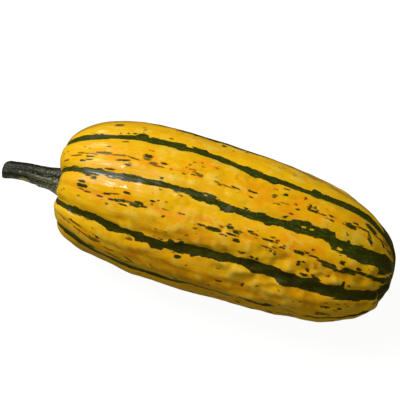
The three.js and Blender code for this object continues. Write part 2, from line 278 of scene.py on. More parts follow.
BROWN_FLECKS = (
    (0.36, 4.35, 2, 0.9), (0.363, 5.145, 5.6, 0.8), (0.24, 4.86, 2.2, 1), (0.268, 4.67, 3, 1),
    (0.142, 5.24, 4, 1), (0.423, 5.17, 2.2, 0.9), (0.444, 5.08, 3.4, 0.7), (0.498, 5.125, 3, 0.7),
    (0.58, 5.165, 2.6, 0.9), (0.644, 4.705, 2.6, 1.2), (0.69, 4.79, 1.2, 2.2), (0.675, 5.02, 1.6, 1.2),
    (0.672, 5.25, 2.2, 1.1), (0.747, 5.12, 3, 0.5), (0.89, 4.92, 11, 0.8, -0.1), (0.905, 4.8, 8, 0.7, -0.1),
    (0.92, 4.98, 6, 0.8), (0.206, 5.92, 4, 0.7), (0.224, 5.945, 4.4, 1), (0.288, 5.845, 4.6, 0.6, -0.1),
    (0.278, 6.06, 2, 1), (0.411, 5.895, 3, 0.6), (0.447, 5.89, 3.4, 0.7), (0.41, 6.02, 2, 1.2),
    (0.484, 6.06, 2, 0.8), (0.54, 5.9, 2.4, 0.8), (0.545, 6.03, 2.2, 0.9), (0.555, 5.815, 1.8, 0.9),
    (0.617, 5.865, 2.4, 0.8), (0.652, 5.81, 2, 0.9), (0.663, 5.835, 1.8, 0.9), (0.662, 5.875, 2, 0.9),
    (0.642, 6.02, 3.8, 1), (0.655, 6.06, 2, 1), (0.742, 5.81, 2, 1), (0.743, 6.2, 1.6, 1.4),
    (0.79, 6.19, 2.2, 0.9, -0.4), (0.84, 6.28, 2, 1), (0.435, 5.6, 3, 0.6), (0.21, 6.56, 2.4, 0.8),
    (0.175, 6.94, 8, 0.7), (0.16, 6.9, 7, 0.8), (0.22, 6.975, 9, 1), (0.25, 6.98, 8, 1), (0.3, 7.02, 6, 0.7),
    (0.343, 7.25, 4, 1), (0.403, 7.06, 2, 0.8, 0.8), (0.56, 7, 3.4, 1.1), (0.46, 7.38, 2, 2.6),
    (0.38, 7.41, 3, 1.2), (0.785, 7.24, 2.4, 1.2), (0.81, 7.28, 2.2, 1.2),
)
YELLOW_FLECKS = (
    (0.708, 5.43, 2.2, 0.8), (0.725, 5.43, 2.2, 0.7), (0.796, 5.615, 2.4, 1.2), (0.808, 5.99, 2.4, 1.1),
    (0.483, 5.44, 1.2, 0.6), (0.955, 5.66, 11, 1, -0.22), (0.92, 5.85, 9, 0.9, -0.1), (0.93, 6.13, 5, 0.7),
)
FLECKS = (GREEN_FLECKS, OLIVE_FLECKS, BROWN_FLECKS, YELLOW_FLECKS)  # in the order of their tints

# Random flecks on the other ribs: a broken line along each rib's crown, and loose ones beside it.
OTHER_RIBS = (0, 1, 2, 3, 8, 9)
LOOSE_FLECKS = 24
LINE_ODDS = (0.6, 0.22, 0.18)  # of green, olive and brown
LOOSE_ODDS = (0.5, 0.2, 0.3)

# Patches of the yellow skin: (share, rib number, half length and half width in mm). The pale ones are partly
# paler skin and partly painted highlight, and the mustard ones partly a deeper colour and partly painted
# shade.
PALE_AND_SHEEN_PATCHES = (
    (0.822, 5.21, 4.5, 3.6), (0.862, 5.12, 3, 2), (0.8, 5.3, 3, 2.4), (0.23, 5.86, 5, 1.6),
    (0.6, 4.15, 4, 3), (0.655, 4.2, 4, 3), (0.83, 4.72, 3, 2), (0.292, 6.1, 5, 1.8), (0.34, 6.14, 7, 2),
    (0.388, 6.02, 6, 1.5), (0.233, 6.04, 2, 1.6), (0.2, 4.88, 11, 1.1), (0.24, 4.97, 5, 0.7),
    (0.235, 4.25, 5, 1.6), (0.29, 4.28, 7, 1.6), (0.42, 5.3, 6, 2), (0.78, 6.2, 5, 2.4), (0.7, 5.75, 5, 2.4),
    (0.3, 6.9, 8, 3.4), (0.62, 6.78, 7, 3), (0.67, 6.95, 7, 4), (0.72, 7, 5, 3), (0.36, 4.75, 7, 2.4),
    (0.22, 5.2, 8, 1.6), (0.5, 3.95, 16, 3), (0.66, 3.95, 16, 4), (0.8, 3.95, 16, 5), (0.17, 6.9, 8, 3),
    (0.22, 7.1, 8, 3), (0.13, 7.1, 7, 4), (0.45, 4.2, 12, 3), (0.73, 3.85, 10, 5),
)
ORANGE_PATCHES = (
    (0.59, 4.95, 12, 7), (0.62, 5.03, 7, 4), (0.68, 4.85, 9, 5), (0.69, 5.7, 8, 3.5), (0.66, 5.2, 8, 3),
    (0.5, 5.9, 7, 3), (0.56, 5.95, 8, 3.5), (0.35, 5.1, 9, 3), (0.27, 5.1, 9, 2.4), (0.6, 6.05, 6, 2.5),
    (0.25, 5.93, 9, 2), (0.75, 5.8, 5, 2), (0.47, 4.8, 10, 3), (0.41, 5.95, 10, 2.4), (0.5, 6.2, 14, 3),
    (0.81, 4.85, 5, 3),
)
# Partly a deeper mustard colour of the skin, partly painted shade where it is darker.
MUSTARD_AND_SHADE_PATCHES = (
    (0.43, 7.02, 22, 6), (0.5, 7.2, 16, 5), (0.56, 5.93, 14, 3.4), (0.48, 5.95, 9, 3), (0.66, 6, 12, 3.4),
    (0.76, 6.05, 9, 3.6), (0.84, 6.05, 9, 3.4), (0.76, 6.98, 9, 4), (0.87, 6.85, 14, 3), (0.32, 3.7, 18, 4),
    (0.42, 6.35, 20, 2.4), (0.53, 6.4, 14, 2.2), (0.6, 4.6, 8, 2),
)

# Rounded swellings of the skin, or dips: (share, rib number, length, width and height in mm).
SWELLINGS = (
    (0.825, 5.22, 8, 7, 0.5), (0.8, 5.3, 5, 5, 0.25), (0.86, 5.1, 6, 5, 0.25), (0.115, 4.65, 16, 26, 1.5),
    (0.11, 6.6, 14, 16, 0.8), (0.13, 7.55, 16, 18, 1), (0.1, 5.7, 20, 24, -2), (0.45, 3.1, 70, 20, -1.6),
    (0.42, 3.5, 60, 12, -0.6), (0.275, 7.75, 26, 20, -0.9), (0.62, 7.8, 55, 22, -1), (0.4, 8, 40, 20, 0.5),
    (0.83, 3.4, 26, 24, -0.9), (0.16, 3.5, 34, 26, -1.3), (0.24, 8.5, 26, 20, -0.8), (0.34, 8, 16, 16, 0.9),
    (0.8, 7.7, 30, 16, 0.7), (0.91, 6.9, 14, 14, -0.9), (0.94, 7.5, 12, 18, -1.2), (0.88, 7.9, 12, 16, 0.5),
    (0.25, 7.95, 30, 18, -0.7), (0.9, 4.1, 16, 18, -0.9), (0.7, 7.75, 18, 14, -2.1),
    (0.95, 8.2, 20, 24, -0.5), (0.885, 3.5, 14, 18, -0.7), (0.13, 4.1, 18, 18, 0.3),
    (0.55, 7.8, 30, 14, -1.1), (0.47, 3.5, 20, 20, 0.35), (0.585, 3.5, 26, 24, 0.5),
    (0.83, 7.7, 16, 14, 0.4), (0.94, 2.9, 16, 24, 0.4), (0.925, 8, 14, 14, -0.4),
)


def end_value(side, name):
    """A property of the end that each place is on: side is below 0 at the stem end."""
    return np.where(side < 0, STEM_END[name], BLOSSOM_END[name])


def fruit_outline(sweep):
    """Place along the axis and radius over the rib crowns, where sweep runs from 0 to pi."""
    side = -np.cos(sweep)
    outward = np.abs(side)
    reach = FRUIT_LENGTH * np.where(side < 0, WIDEST_STATION, 1 - WIDEST_STATION)
    fall = np.clip(1 - outward ** end_value(side, "bulge"), 0, 1)
    radius = FRUIT_RADIUS * (1 - end_value(side, "taper") * outward**2)
    radius = radius * fall ** (1 / end_value(side, "corner"))
    return side * reach, radius


def fruit_skin(sweep, turn, phase, sharpness=2, depth=1):
    """Points of the skin. phase is the rib number there: a furrow lies where it ends in .5."""
    along, radius = fruit_outline(sweep)
    side = -np.cos(sweep)
    outward = np.abs(side)
    wide = radius / FRUIT_RADIUS
    groove = ((1 - np.cos(2 * np.pi * phase)) / 2) ** sharpness
    full_depth = FURROW_DEPTH + (end_value(side, "furrow") - FURROW_DEPTH) * outward**4
    furrow = depth * groove * full_depth
    ribbed = radius - furrow * np.minimum(1, wide / FURROW_START)
    y = ribbed * np.sin(turn)
    z = -ribbed * np.cos(turn)
    pole_furrow = furrow * POLE_FURROW * (1 - wide) * np.minimum(1, radius / POLE_FURROW_RADIUS)
    x = along - np.sign(side) * pole_furrow
    lean = end_value(side, "lean_up") * z + end_value(side, "lean_back") * y
    x = x + outward**3 * lean / FRUIT_RADIUS
    stem_side = side < 0
    x = x + stem_side * BASIN_DEPTH * np.exp(-((radius / BASIN_RADIUS) ** 2))
    y = y + stem_side * STEM_POLE_Y * (1 - wide**2)
    z = z + stem_side * STEM_POLE_Z * (1 - wide**2)
    z = z - BEND_DOWN * outward**2
    return np.stack([x + 0 * turn, y, z], -1)


def frame_offset():
    """Where the fruit's own origin is in the frame, from the CAD fruit's box."""
    share = np.linspace(0, 1, CAD_RINGS + 1)[:, None]
    sweep = np.pi * share - np.sin(2 * np.pi * share) / 4
    turn = np.linspace(0, 2 * np.pi, CAD_SPOKES, endpoint=False)[None, :]
    skin = fruit_skin(sweep, turn, turn * RIB_COUNT / (2 * np.pi)).reshape(-1, 3)
    low, high = (np.array(corner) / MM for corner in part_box("fruit"))
    middle = (low + high) / 2 - (skin.min(0) + skin.max(0)) / 2
    return np.array([middle[0], middle[1], high[2] - skin[:, 2].max()])


def waves(points, layer, rng):
    """Smooth random relief of about unit height, a sum of plane waves."""
    stretch, wavelength, count = layer
    stretched = points * np.array([stretch, 1, 1])
    total = np.zeros(points.shape[:-1])
    for _ in range(count):
        direction = rng.normal(size=3)
        direction /= np.linalg.norm(direction)
        pitch = wavelength * rng.uniform(0.7, 1.4)
        total += np.sin(stretched @ direction * (2 * np.pi / pitch) + rng.uniform(0, 2 * np.pi))
    return total * math.sqrt(2 / count)


def surface_normals(grid):
    """Outward normals of a grid of points whose second direction closes on itself."""
    along = np.gradient(grid, axis=0)
    around = (np.roll(grid, -1, axis=1) - np.roll(grid, 1, axis=1)) / 2
    normal = np.cross(around, along)
    length = np.linalg.norm(normal, axis=-1, keepdims=True)
    return normal / np.maximum(length, 1e-9)


def rib_number(share, turn):
    """The rib number at each turn (radians from straight down) of a ring at that share."""
    numbers = np.arange(-1, RIB_COUNT + 1) + 0.5
    sway = [np.interp(share, SWAY_STATIONS, SWAY[k]) for k in range(RIB_COUNT)]
    furrows = [360 / RIB_COUNT * (k + 0.5) + sway[k] for k in range(RIB_COUNT)]
    known = [furrows[-1] - 360] + furrows + [furrows[0] + 360]
    return np.interp(np.degrees(turn), known, numbers) % RIB_COUNT


def grid_mesh(name, grid, first_pole, last_pole, attributes):
    """A closed mesh from rings of points (mm, frame axes) with a pole at each end.

    attributes maps a name to (first pole's value, grid of values, last pole's value).
    """
    rings, spokes = grid.shape[:2]
    points = np.concatenate([[first_pole], grid.reshape(-1, 3), [last_pole]]) * MM
    row = np.arange(rings - 1)[:, None] * spokes
    here = np.arange(spokes)[None, :]
    after = (here + 1) % spokes
    quads = 1 + np.stack([row + here, row + spokes + here, row + spokes + after, row + after], -1)
    last_ring = 1 + (rings - 1) * spokes
    fans = [(0, 1 + i, 1 + (i + 1) % spokes) for i in range(spokes)]
    fans += [(len(points) - 1, last_ring + (i + 1) % spokes, last_ring + i) for i in range(spokes)]
    mesh = bpy.data.meshes.new(name)
    mesh.from_pydata(points.tolist(), [], quads.reshape(-1, 4).tolist() + fans)
    for key, (first, values, last) in attributes.items():
        width = 3 if np.ndim(first) else 1
        flat = np.concatenate([np.reshape(first, (1, width)), values.reshape(-1, width),
                               np.reshape(last, (1, width))])
        store(mesh, key, "POINT", flat)
    mesh.polygons.foreach_set("use_smooth", [True] * len(mesh.polygons))
    piece = bpy.data.objects.new(name, mesh)
    bpy.context.scene.collection.objects.link(piece)
    return piece


def store(mesh, key, domain, values):
    """Put an array of numbers, or of triples, on a mesh as a named attribute."""
    kind, field = ("FLOAT_VECTOR", "vector") if values.shape[-1] == 3 else ("FLOAT", "value")
    attribute = mesh.attributes.new(key, kind, domain)
    attribute.data.foreach_set(field, values.astype(np.float32).ravel())


def read(items, field):
    """One whole number from each item, as an array."""
    values = np.zeros(len(items), np.int64)
    items.foreach_get(field, values)
    return values


def random_flecks(rng):
    """Flecks for the ribs that the listed ones leave out."""
    flecks = []
    for rib in OTHER_RIBS:
        share = rng.uniform(0.14, 0.2)
        while share < 0.9:
            if rng.random() < 0.72:
                length = rng.uniform(2, 5) + 5 * (rng.random() < 0.25)
                width = rng.uniform(0.7, 1.8)
                tint = rng.choice(3, p=LINE_ODDS)
                flecks.append((tint, share, rib + rng.normal(0, 0.035), length, width, 0))
            share += rng.uniform(0.012, 0.045)
        for _ in range(LOOSE_FLECKS):
            place = rng.uniform(0.15, 0.9) ** 0.7
            number = rib + rng.uniform(-0.32, 0.32)
            tint = rng.choice(3, p=LOOSE_ODDS)
            slant = rng.uniform(-0.3, 0.3)
            length = rng.uniform(1.4, 3.6)
            flecks.append((tint, place, number, length, rng.uniform(0.7, 1.9), slant))
    return flecks


def placed_flecks():
    """The listed flecks, as (tint, share, rib number, length, width, slant)."""
    flecks = []
    for tint, places in enumerate(FLECKS):
        flecks += [(tint, *fleck, 0)[:6] for fleck in places]
    return flecks


def paint_flecks(mesh, flecks, skin):
    """Give each face its nearest fleck: the offset of its corners from it, and its size."""
    share, phase, rib_width = skin.at_points()
    corners = read(mesh.loops, "vertex_index")
    starts = read(mesh.polygons, "loop_start")
    counts = read(mesh.polygons, "loop_total")
    first = corners[starts]
    opposite = corners[starts + 2]
    middle_share = (share[first] + share[opposite]) / 2
    middle_phase = phase[first] + gap(phase[opposite], phase[first]) / 2
    middle_width = (rib_width[first] + rib_width[opposite]) / 2
    nearest = np.zeros(len(starts), np.int64)
    least = np.full(len(starts), np.inf)
    for number, (_, where, rib, length, width, slant) in enumerate(flecks):
        along = (middle_share - where) * skin.total
        across = gap(middle_phase, rib) * middle_width - slant * along
        distance = np.hypot(along * 2 / length, across * 2 / width)
        nearest = np.where(distance < least, number, nearest)
        least = np.minimum(distance, least)
    tint, where, rib, length, width, slant = np.array(flecks)[np.repeat(nearest, counts)].T
    along = (share[corners] - where) * skin.total
    across = gap(phase[corners], rib) * rib_width[corners] - slant * along
    store(mesh, "fleck_offset", "CORNER", np.stack([along, across, 0 * along], -1))
    store(mesh, "fleck_size", "CORNER", np.stack([length / 2, width / 2, tint], -1))


def gap(number, rib):
    """Signed difference of rib numbers, the short way round."""
    return (number - rib + RIB_COUNT / 2) % RIB_COUNT - RIB_COUNT / 2


def on_cylinder(along, turn, radius):
    """Points of an even cylinder, at those places along it and turns round it."""
    return np.stack([along + 0 * turn, radius * np.cos(turn), radius * np.sin(turn)], -1)


def line_at(points, place):
    """The value at each place of a line through (place, value) points."""
    places, values = zip(*points)
    return np.interp(place, places, values)


class Skin:
    """The fruit's skin, as rings of points at even steps along it, in the fruit's own axes.

    share is each ring's part of the way between the poles, phase the rib number at each point, and
    total the length of skin that a share of 1 stands for.
    """

    def __init__(self):
        fine = np.linspace(0, np.pi, FRUIT_SAMPLES)
        along, radius = fruit_outline(fine)
        along = along + (along < 0) * BASIN_DEPTH * np.exp(-((radius / BASIN_RADIUS) ** 2))
        run = np.concatenate([[0], np.cumsum(np.hypot(np.diff(along), np.diff(radius)))])
        self.total = run[-1]
        self.share = np.arange(1, RINGS)[:, None] / RINGS
        sweep = np.interp(self.share * self.total, run, fine)
        turn = np.arange(SPOKES) * 2 * np.pi / SPOKES
        self.phase = np.stack([rib_number(share, turn) for share in self.share[:, 0]])
        radius = np.maximum(fruit_outline(sweep)[1], LEAST_RADIUS)
        self.rib_width = 2 * np.pi * radius / RIB_COUNT
        depth = np.ones(self.phase.shape)
        for k, factors in FURROW_DEPTHS.items():
            here = np.floor(self.phase) == k
            depth = np.where(here, np.interp(self.share, DEPTH_STATIONS, factors), depth)
        self.base = fruit_skin(sweep, turn[None, :] + 0 * sweep, self.phase, FURROW_SHARPNESS, depth)

    def span(self, share, rib, half_length, half_width):
        """Distance from a place, where 1 is the edge of an ellipse of that size in mm."""
        along = (self.share - share) * self.total
        across = gap(self.phase, rib) * self.rib_width
        return np.hypot(along / half_length, across / half_width)

    def add_relief(self, rng):
        """Long lumps, small patchy lumps, a crease along each rib, and the swellings."""
        lumpiness = line_at(LUMPINESS, self.phase) * line_at(LUMP_GROWTH, self.share)
        relief = (EVEN_HEIGHT + LONG_HEIGHT * lumpiness) * waves(self.base, LONG_LUMPS, rng)
        patch = 1 + PATCHINESS * waves(self.base, LUMP_PATCHES, rng)
        patch = np.clip(patch, 0.3, 2) * lumpiness
        lumps = waves(self.base, LUMPS, rng)
        small_lumps = waves(self.base, SMALL_LUMPS, rng)
        relief = relief + patch * (LUMP_HEIGHT * lumps + SMALL_HEIGHT * small_lumps)
        self.lumps = (lumps + 0.5 * small_lumps) * np.minimum(1, patch)
        self.crease = self.creases()
        relief = relief - CREASE_DEPTH * self.crease
        for share, rib, length, width, height in SWELLINGS:
            relief = relief + height * np.exp(-(self.span(share, rib, length / 2, width / 2) ** 2))
        self.points = self.base + surface_normals(self.base) * relief[..., None]

    def creases(self):
        """1 along each rib's crease, falling away around it."""
        crease = np.zeros(self.phase.shape)
        from_pole = 0.5 - np.abs(self.share - 0.5)
        fade = np.clip((from_pole - CREASE_START) / CREASE_FADE, 0, 1)
        for rib in range(RIB_COUNT):
            centre = rib + line_at(CREASES.get(rib, PLAIN_CREASE), self.share)
            line = fade * np.exp(-((gap(self.phase, centre) / CREASE_WIDTH) ** 2))
            crease = np.maximum(crease, line)
        return crease

    def stripes(self):
        """Millimetres outside the nearest stripe or the cap, below 0 inside."""
        stripe = (line_at(CAP_EDGE, self.phase) - self.share) * self.total
        for k in range(RIB_COUNT):
            near = line_at(NEAR_EDGES.get(k, PLAIN_EDGE), self.share)
            far = line_at(FAR_EDGES.get(k, PLAIN_EDGE), self.share)
            across = gap(self.phase, k + 0.5) * 2 * np.pi * FRUIT_RADIUS / RIB_COUNT
            stripe = np.minimum(stripe, np.maximum(-near - across, across - far))
        return stripe

    def patches(self, places):
        """1 in the middle of each patch, and falling away around it."""
        total = np.zeros(self.phase.shape)
        for place in places:
            total = np.maximum(total, np.exp(-(self.span(*place) ** 2)))
        return total

    def coordinates(self):
        """The skin rolled back to an even cylinder, in mm, for the grain of the material."""
        return on_cylinder(self.share * self.total, self.phase * 2 * np.pi / RIB_COUNT, FRUIT_RADIUS)

    def at_points(self):
        """The share, the rib number and the width of a rib at each point of the mesh."""
        even = 0 * self.phase
        return (np.concatenate([[0], (self.share + even).ravel(), [1]]),
                np.concatenate([[0], self.phase.ravel(), [0]]),
                np.concatenate([[POLE_RIB_WIDTH], (self.rib_width + even).ravel(), [POLE_RIB_WIDTH]]))


def make_fruit(offset):
    """The fruit, with the measures of its skin that the material draws from."""
    rng = np.random.default_rng(FRUIT_SEED)
    skin = Skin()
    skin.add_relief(rng)
    stripe = skin.stripes()
    grid = skin.points + offset
    first_pole = grid[0].mean(0)
    last_pole = grid[-1].mean(0)
    grid[..., 2] = np.maximum(grid[..., 2], 0)
    attributes = {
        "skin": ((0, 0, 0), skin.coordinates(), (skin.total, 0, 0)),
        "stripe": (stripe[0].mean(), stripe, stripe[-1].mean()),
        "crown": (0, (1 + np.cos(2 * np.pi * skin.phase)) / 2, 0),
        "crease": (0, skin.crease, 0),
        "share": (0, skin.share + 0 * skin.phase, 1),
        "lumps": (0, skin.lumps, 0),
        # The pale patches are partly a painted highlight.
        "pale_and_sheen": (0, skin.patches(PALE_AND_SHEEN_PATCHES), 0),
        "orange": (0, skin.patches(ORANGE_PATCHES), 0),
        # The mustard patches are partly painted shade.
        "mustard_and_shade": (0, skin.patches(MUSTARD_AND_SHADE_PATCHES), 0),
    }
    fruit = grid_mesh("squash_fruit", grid, first_pole, last_pole, attributes)
    paint_flecks(fruit.data, placed_flecks() + random_flecks(rng), skin)
    return fruit


def bezier(line, t):
    """Points of a cubic curve at t from 0 to 1."""
    a, b, c, d = (np.array(p, float) for p in line)
    t = t[:, None]
    return a * (1 - t) ** 3 + 3 * b * t * (1 - t) ** 2 + 3 * c * t**2 * (1 - t) + d * t**3


def stem_axis():
    """Places along the stem, in mm, with the centre and three directions at each."""
    fine = bezier(STEM_LINE, np.linspace(0, 1, STEM_SAMPLES))
    run = np.concatenate([[0], np.cumsum(np.linalg.norm(np.diff(fine, axis=0), axis=1))])
    place = np.linspace(0, run[-1], STEM_RINGS)
    centre = np.stack([np.interp(place, run, fine[:, i]) for i in range(3)], -1)
    ahead = np.gradient(centre, axis=0)
    ahead /= np.linalg.norm(ahead, axis=1, keepdims=True)
    sideways = np.cross([0, 0, 1], ahead)
    sideways /= np.linalg.norm(sideways, axis=1, keepdims=True)
    return place, centre, ahead, sideways, np.cross(ahead, sideways)


def stem_tube(place, turn, rng):
    """The stem's radius, its ridges and its grain, at each place and turn."""
    to_tip = (place[-1] - place)[:, None]
    radius = STEM_TIP_RADIUS + STEM_FLARE * np.exp(-place / STEM_FLARE_LENGTH)
    radius = radius + line_at(STEM_WIDENING, place)
    angle = turn[None, :] + RIDGE_START + RIDGE_TWIST * place[:, None] / place[-1]
    ridge = sum(height * np.cos(count * angle + phase) for count, height, phase in STEM_RIDGES)
    ridge = ridge * np.clip(to_tip / RIDGE_FADE, RIDGE_AT_TIP, 1)
    tube = radius[:, None] * (1 + ridge / STEM_TIP_RADIUS)
    rolled = on_cylinder(place[:, None], angle, STEM_GRAIN_RADIUS)
    grain = waves(rolled, STEM_GRAIN, rng)
    tube = tube + GRAIN_HEIGHT * grain + KNOB_HEIGHT * waves(rolled, STEM_KNOBS, rng)
    near_tip = np.clip(1 - to_tip / TIP_ROUNDING, 0, 1)
    far_side = np.clip(-np.cos(turn), 0, 1)
    return tube - TIP_ROUND_OFF * near_tip**2 * far_side, ridge, grain


def turn_gap(turn, degrees):
    """Radians from a direction to each turn, the short way round."""
    return (turn - math.radians(degrees) + np.pi) % (2 * np.pi) - np.pi


def stem_marks(run, turn):
    """The scars and the painted shade bands: 1 in the middle of each, and falling away around it."""
    scar = np.zeros((len(run), len(turn)))
    for where, way, long, wide in STEM_SCARS:
        around = turn_gap(turn, way) * STEM_TIP_RADIUS
        span = np.hypot((run[:, None] - where) / long, around / wide)
        scar = np.maximum(scar, np.exp(-(span**2)))
    groove = np.zeros(scar.shape)
    for way, wide in STEM_SHADE_BANDS:
        groove = np.maximum(groove, np.exp(-((turn_gap(turn, way) / math.radians(wide)) ** 2)))
    return scar, groove


def make_stem(offset):
    """The stem, from its root inside the basin to its cut face, which slants back on top."""
    place, centre, ahead, sideways, upward = stem_axis()
    length = place[-1]
    turn = np.arange(STEM_SPOKES) * 2 * np.pi / STEM_SPOKES
    centre = centre + line_at(STEM_RISE, place)[:, None] * np.array(STEM_RISE_WAY)
    tube, ridge, grain = stem_tube(place, turn, np.random.default_rng(STEM_SEED))
    body = (centre[:, None] + sideways[:, None] * (tube * np.cos(turn))[..., None]
            + upward[:, None] * (tube * np.sin(turn))[..., None])
    slanting = np.clip(1 - (length - place) / SLANT_LENGTH, 0, 1)[:, None]
    back = TIP_SLANT * slanting * tube * np.cos(turn - SLANT_TURN)
    body = body - ahead[:, None] * back[..., None]
    tip = body[-1].mean(0)
    face = [tip + (body[-1] - tip) * inward + ahead[-1] * forward for inward, forward, _ in CUT_RINGS]
    grid = np.concatenate([body, face])
    run = np.concatenate([place, np.full(len(face), length)])
    even = np.zeros((len(run), STEM_SPOKES))
    skin = on_cylinder(run[:, None], turn + even, STEM_TIP_RADIUS)
    cut = np.concatenate([np.zeros(STEM_RINGS), [bare for _, _, bare in CUT_RINGS]])
    scar, groove = stem_marks(run, turn)
    high = np.concatenate([ridge + 0.3 * grain, np.zeros((len(face), STEM_SPOKES))])
    attributes = {
        "skin": ((0, 0, 0), skin, (length, 0, 0)),
        "cut": (0, cut[:, None] + even, 1),
        "ridge": (0, high, 0),
        "scar": (0, scar, 0),
        # The bands of painted shade along the stem's edges.
        "groove": (0, groove, 0),
        "share": (0, run[:, None] / length + even, 1),
    }
    return grid_mesh("squash_stem", grid + offset, centre[0] + offset,
                     tip - ahead[-1] * CUT_DIP + offset, attributes)


class Tree:
    """One material, with short calls that add a node and return its output."""

    def __init__(self, name):
        self.material = bpy.data.materials.new(name)
        self.material.use_nodes = True
        self.nodes = self.material.node_tree.nodes
        self.links = self.material.node_tree.links
        self.nodes.clear()

    def add(self, kind, inputs, **settings):
        """A new node. Each of its inputs is a socket to link or a value to set."""
        node = self.nodes.new(kind)
        for key, value in settings.items():
            setattr(node, key, value)
        for key, value in inputs.items():
            if isinstance(value, bpy.types.NodeSocket):
                self.links.new(value, node.inputs[key])
            else:
                node.inputs[key].default_value = value
        return node

    def math(self, operation, a, b=0.0, clamp=False):
        node = self.add("ShaderNodeMath", {0: a, 1: b}, operation=operation, use_clamp=clamp)
        return node.outputs[0]

    def vector(self, operation, a, b):
        return self.add("ShaderNodeVectorMath", {0: a, 1: b}, operation=operation).outputs[0]

    def plus(self, a, b, clamp=False):
        return self.math("ADD", a, b, clamp)

    def minus(self, a, b):
        return self.math("SUBTRACT", a, b)

    def times(self, a, b):
        return self.math("MULTIPLY", a, b)

    def attribute(self, name, output="Fac"):
        return self.add("ShaderNodeAttribute", {}, attribute_name=name).outputs[output]

    def noise(self, vector, pitch, detail, stretch=1, roughness=0.5, output="Fac"):
        """Noise from 0 to 1, about pitch mm apart, drawn out along the piece below stretch 1."""
        node = self.add("ShaderNodeTexNoise", {
            "Vector": self.vector("MULTIPLY", vector, (stretch, 1, 1)),
            "Scale": 1 / pitch, "Detail": detail, "Roughness": roughness})
        return node.outputs[output]

    def cells(self, vector, pitch, factors, **settings):
        """Cells about pitch mm apart, coloured by three random numbers each."""
        node = self.add("ShaderNodeTexVoronoi", {
            "Vector": self.vector("MULTIPLY", vector, factors), "Scale": 1 / pitch}, **settings)
        return node.outputs["Color"]

    def ramp(self, value, low, high):
        """0 up to low, 1 from high on, smooth between. low may be above high."""
        node = self.add("ShaderNodeMapRange", {"Value": value, "From Min": low, "From Max": high},
                        interpolation_type="SMOOTHSTEP")
        return node.outputs[0]

    def mix(self, factor, a, b, blend="MIX"):
        inputs = {0: factor}
        for key, value in ((6, a), (7, b)):
            inputs[key] = value if isinstance(value, bpy.types.NodeSocket) else (*value, 1)
        node = self.add("ShaderNodeMix", inputs, data_type="RGBA", blend_type=blend)
        return node.outputs[2]

    def over(self, colour, mask, strength, paint, blend="MIX"):
        """The colour with paint over it where the mask is 1, at that strength."""
        return self.mix(self.times(mask, strength), colour, paint, blend)

    def parts(self, vector):
        return self.add("ShaderNodeSeparateXYZ", {0: vector}).outputs

    def shift(self, value, amount):
        """A 0 to 1 noise as a shift of up to half the amount either way."""
        return self.times(self.minus(value, 0.5), amount)

    def shaken(self, vector, noise, amounts):
        """The vector with a 0 to 1 colour noise added, scaled by amounts."""
        centred = self.vector("SUBTRACT", noise, (0.5, 0.5, 0.5))
        return self.vector("ADD", self.vector("MULTIPLY", centred, amounts), vector)

    def finish(self, colour, roughness, specular, **shader):
        """Join the surface to the output, and return the material."""
        surface = self.add("ShaderNodeBsdfPrincipled", {
            "Base Color": colour, "Roughness": roughness, "Specular IOR Level": specular, **shader})
        output = self.add("ShaderNodeOutputMaterial", {})
        self.links.new(surface.outputs[0], output.inputs[0])
        return self.material

    def bump(self, height, distance):
        node = self.add("ShaderNodeBump", {"Height": height, "Strength": 1.0, "Distance": distance})
        return node.outputs[0]


# Colours of the fruit.
LEMON = (0.86, 0.49, 0.004)
YELLOW = (0.88, 0.44, 0.003)
ORANGE = (0.88, 0.30, 0.002)
# Cream, partly the skin's own and partly a painted highlight.
CREAM_AND_SHEEN = (0.86, 0.58, 0.06)
# Mustard, partly the skin's own and partly painted shade.
MUSTARD_AND_SHADE = (0.60, 0.28, 0.002)
GREEN = (0.026, 0.033, 0.0015)
LIGHT_GREEN = (0.066, 0.08, 0.006)
OLIVE = (0.17, 0.115, 0.008)
BROWN = (0.17, 0.06, 0.003)
FRONT_GREEN = (0.04, 0.026, 0.0005)
CAP_BROWN = (0.03, 0.02, 0.001)
# Painted shade, multiplied into the skin's colour at the +Y side's edges.
PAINTED_EDGE_SHADE = (0.14, 0.17, 0.8)

# How the fruit's marks are drawn.
FLECK_SQUARENESS = 3  # 2 would make them ellipses
FLECK_GROWTH = 1.12  # makes up for what their jagged rims lose
LOOSE_BLOCK_ODDS = 0.09  # dark blocks beside the stripes
FRECKLE_ODDS = 0.022


def stripe_masks(t, skin, bent, fine):
    """Millimetres outside the stripes' notched edges, and a mask of all that is dark."""
    stripe = t.attribute("stripe")
    # Blocky cells, drawn out along the fruit, notch the edges.
    block, chance, _ = t.parts(t.cells(bent, 1.1, (0.27, 1, 1), distance="CHEBYCHEV"))
    scallop = t.noise(skin, pitch=2.6, detail=1, stretch=0.7)
    notch = t.plus(t.shift(block, 0.7), t.shift(scallop, 0.9))
    edge = t.plus(stripe, t.plus(notch, t.shift(fine, 0.5)))
    near = t.times(t.ramp(stripe, 1.5, 0.2), LOOSE_BLOCK_ODDS)
    loose = t.math("GREATER_THAN", near, chance)
    return edge, t.math("MAXIMUM", t.ramp(edge, 0.13, -0.13), loose)


def fleck_masks(t, bent, fine):
    """Distance from the middle of a fleck, where 1 is its rim, its mask, and its tint."""
    jag = t.cells(bent, 0.85, (0.6, 1.5, 1.5))
    offset = t.shaken(t.attribute("fleck_offset", "Vector"), jag, (1.2, 0.36, 0))
    along, across, _ = t.parts(offset)
    half_length, half_width, tint = t.parts(t.attribute("fleck_size", "Vector"))
    along = t.math("ABSOLUTE", t.math("DIVIDE", along, half_length))
    across = t.math("ABSOLUTE", t.math("DIVIDE", across, half_width))
    total = t.plus(t.math("POWER", along, FLECK_SQUARENESS), t.math("POWER", across, FLECK_SQUARENESS))
    span = t.math("POWER", total, 1 / FLECK_SQUARENESS)
    inside = t.times(t.minus(FLECK_GROWTH, span), half_width)
    return span, t.ramp(t.plus(inside, t.shift(fine, 0.3)), -0.12, 0.14), tint


